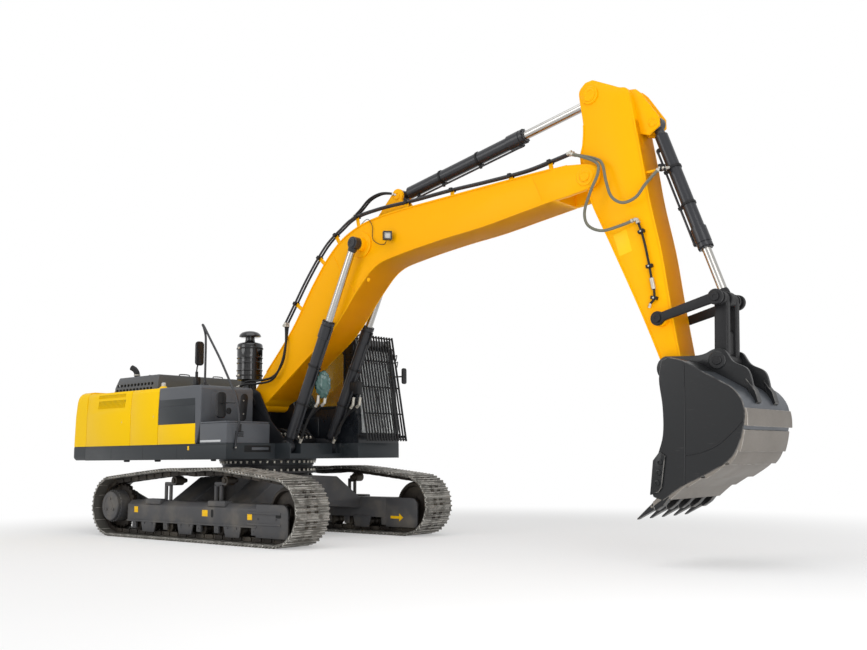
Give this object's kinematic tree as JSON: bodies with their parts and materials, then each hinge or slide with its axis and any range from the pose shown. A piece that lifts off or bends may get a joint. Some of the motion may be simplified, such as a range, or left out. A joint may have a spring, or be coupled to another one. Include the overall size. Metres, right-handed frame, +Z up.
{
  "type": "crawler excavator",
  "caption": "Crawler excavator on tracks with a revolving upper, cab, boom, arm and bucket moved by hydraulic cylinders.",
  "frame": {"origin": "middle of the machine's plan box on the ground plane, at rest", "axes": "+X forward, the way boom and cab face; +Y to the machine's left; +Z up"},
  "size_m": [11.6062, 3.19, 5.7904],
  "materials": {
    "body_yellow": "gloss",
    "boom_yellow": "gloss",
    "body_grey": "satin",
    "frame_black": "satin",
    "bucket_black": "satin",
    "track_steel": "matte",
    "rod_chrome": "polished",
    "window_glass": "gloss",
    "cab_plastic": "matte"
  },
  "bodies": {
    "undercarriage": {"car_body": "frame_black", "swing_bearing": "frame_black", "track_frame_right": "frame_black", "track_frame_left": "frame_black", "track_right": "track_steel", "track_left": "track_steel", "idler_right": "frame_black", "idler_left": "frame_black", "drive_sprocket_right": "frame_black", "drive_sprocket_left": "frame_black"},
    "upper": {"revolving_frame": "frame_black", "counterweight": "body_yellow", "engine_bay_frame": "frame_black", "engine_block": "frame_black", "fuel_tank": "body_grey", "hydraulic_tank": "body_grey", "left_body_panel": "body_grey", "toolbox": "body_grey", "air_filter": "cab_plastic", "handrail": "frame_black", "mirror_right": "cab_plastic", "mirror_left": "cab_plastic", "cab_frame": "body_grey", "cab_right_window": "window_glass", "cab_corner_window": "window_glass", "cab_rear_window": "window_glass", "windshield": "window_glass", "seat": "cab_plastic", "console": "cab_plastic", "front_guard": "frame_black"},
    "hood": {"engine_hood": "body_grey", "exhaust_pipe": "frame_black"},
    "right_rear_panel": {"right_rear_door": "body_yellow"},
    "right_front_panel": {"right_front_door": "body_yellow"},
    "left_rear_panel": {"left_rear_door": "body_yellow"},
    "left_front_panel": {"left_front_door": "body_yellow"},
    "toolbox_cover": {"toolbox_lid": "body_grey"},
    "cab_door_leaf": {"cab_door": "body_grey", "door_window": "window_glass"},
    "boom_arm": {"boom": "boom_yellow"},
    "stick": {"arm": "boom_yellow"},
    "bucket_shell": {"bucket": "bucket_black"},
    "guide": {"guide_links": "frame_black"},
    "link": {"bucket_link": "frame_black"},
    "boom_barrel_right": {"boom_cylinder_barrel_right": "frame_black"},
    "boom_barrel_left": {"boom_cylinder_barrel_left": "frame_black"},
    "boom_rod_right": {"boom_cylinder_rod_right": "rod_chrome"},
    "boom_rod_left": {"boom_cylinder_rod_left": "rod_chrome"},
    "arm_barrel": {"arm_cylinder_barrel": "frame_black"},
    "arm_rod": {"arm_cylinder_rod": "rod_chrome"},
    "bucket_barrel": {"bucket_cylinder_barrel": "frame_black"},
    "bucket_rod": {"bucket_cylinder_rod": "rod_chrome"}
  },
  "joints": [
    {"name": "slew", "type": "hinge", "parent": "undercarriage", "child": "upper", "pos_m": [-2.35312, 0, 1.095], "axis": [0, 0, 1], "continuous": true},
    {"name": "boom_lift", "type": "hinge", "parent": "upper", "child": "boom_arm", "pos_m": [-2.33312, 0, 2.08], "axis": [0, -1, 0], "range_deg": [-55, 20]},
    {"name": "arm_swing", "type": "hinge", "parent": "boom_arm", "child": "stick", "pos_m": [3.80587, 0, 4.561], "axis": [0, 1, 0], "range_deg": [-45, 50]},
    {"name": "bucket_curl", "type": "hinge", "parent": "stick", "child": "bucket_shell", "pos_m": [4.78988, 0, 2.151], "axis": [0, 1, 0], "range_deg": [-45, 100]},
    {"name": "boom_barrel_right_pivot", "type": "hinge", "parent": "upper", "child": "boom_barrel_right", "pos_m": [-1.40312, -0.42, 1.37], "axis": [0, -1, 0], "range_deg": [-59.21, 22.53]},
    {"name": "boom_rod_right_slide", "type": "slide", "parent": "boom_barrel_right", "child": "boom_rod_right", "axis": [0.4338, 0, 0.901], "range_m": [-1.0621, 0.4042]},
    {"name": "boom_barrel_left_pivot", "type": "hinge", "parent": "upper", "child": "boom_barrel_left", "pos_m": [-1.40312, 0.42, 1.37], "axis": [0, -1, 0], "range_deg": [-59.21, 22.53]},
    {"name": "boom_rod_left_slide", "type": "slide", "parent": "boom_barrel_left", "child": "boom_rod_left", "axis": [0.4338, 0, 0.901], "range_m": [-1.0621, 0.4042]},
    {"name": "arm_barrel_pivot", "type": "hinge", "parent": "boom_arm", "child": "arm_barrel", "pos_m": [0.54878, 0, 4.95099], "axis": [0, 1, 0], "range_deg": [-3.92, 4.33]},
    {"name": "arm_rod_slide", "type": "slide", "parent": "arm_barrel", "child": "arm_rod", "axis": [0.9813, 0, 0.1925], "range_m": [-0.7662, 0.8479]},
    {"name": "bucket_barrel_pivot", "type": "hinge", "parent": "stick", "child": "bucket_barrel", "pos_m": [4.64687, 0, 5.09], "axis": [0, 1, 0], "range_deg": [-3.86, 8.28]},
    {"name": "bucket_rod_slide", "type": "slide", "parent": "bucket_barrel", "child": "bucket_rod", "axis": [0.3265, 0, -0.9452], "range_m": [-0.377, 0.81]},
    {"name": "guide_pivot", "type": "hinge", "parent": "stick", "child": "guide", "pos_m": [4.70688, 0, 2.72], "axis": [0, 1, 0], "range_deg": [-36.79, 79.04]},
    {"name": "link_pivot", "type": "hinge", "parent": "bucket_shell", "child": "link", "pos_m": [5.37688, 0, 2.2], "axis": [0, 1, 0], "range_deg": [-79.63, 37.07]},
    {"name": "hood_hinge", "type": "hinge", "parent": "upper", "child": "hood", "pos_m": [-3.97313, 0, 2.305], "axis": [0, 1, 0], "range_deg": [0, 70]},
    {"name": "right_rear_door_hinge", "type": "hinge", "parent": "upper", "child": "right_rear_panel", "pos_m": [-5.32913, -1.45, 1.86], "axis": [0, 0, -1], "range_deg": [0, 100]},
    {"name": "right_front_door_hinge", "type": "hinge", "parent": "upper", "child": "right_front_panel", "pos_m": [-4.01912, -1.45, 1.86], "axis": [0, 0, -1], "range_deg": [0, 100]},
    {"name": "left_rear_door_hinge", "type": "hinge", "parent": "upper", "child": "left_rear_panel", "pos_m": [-5.32913, 1.45, 1.86], "axis": [0, 0, 1], "range_deg": [0, 100]},
    {"name": "left_front_door_hinge", "type": "hinge", "parent": "upper", "child": "left_front_panel", "pos_m": [-4.01912, 1.45, 1.86], "axis": [0, 0, 1], "range_deg": [0, 100]},
    {"name": "toolbox_lid_hinge", "type": "hinge", "parent": "upper", "child": "toolbox_cover", "pos_m": [-2.18783, -1, 1.74], "axis": [0, -1, 0], "range_deg": [0, 80]},
    {"name": "cab_door_hinge", "type": "hinge", "parent": "upper", "child": "cab_door_leaf", "pos_m": [-2.21513, 1.461, 2.3], "axis": [0, 0, 1], "range_deg": [0, 165]}
  ],
  "couplings": [
    {"joint": "boom_barrel_right_pivot", "follows": "boom_lift", "ratio": 1.0479},
    {"joint": "boom_rod_right_slide", "follows": "boom_lift", "m_per_rad": 1.0771},
    {"joint": "boom_barrel_left_pivot", "follows": "boom_lift", "ratio": 1.0479},
    {"joint": "boom_rod_left_slide", "follows": "boom_lift", "m_per_rad": 1.0771},
    {"joint": "arm_barrel_pivot", "follows": "arm_swing", "ratio": 0.0835},
    {"joint": "arm_rod_slide", "follows": "arm_swing", "m_per_rad": 0.936},
    {"joint": "bucket_barrel_pivot", "follows": "bucket_curl", "ratio": 0.0805},
    {"joint": "bucket_rod_slide", "follows": "bucket_curl", "m_per_rad": 0.451},
    {"joint": "guide_pivot", "follows": "bucket_curl", "ratio": 0.7681},
    {"joint": "link_pivot", "follows": "bucket_curl", "ratio": -0.7739}
  ]
}
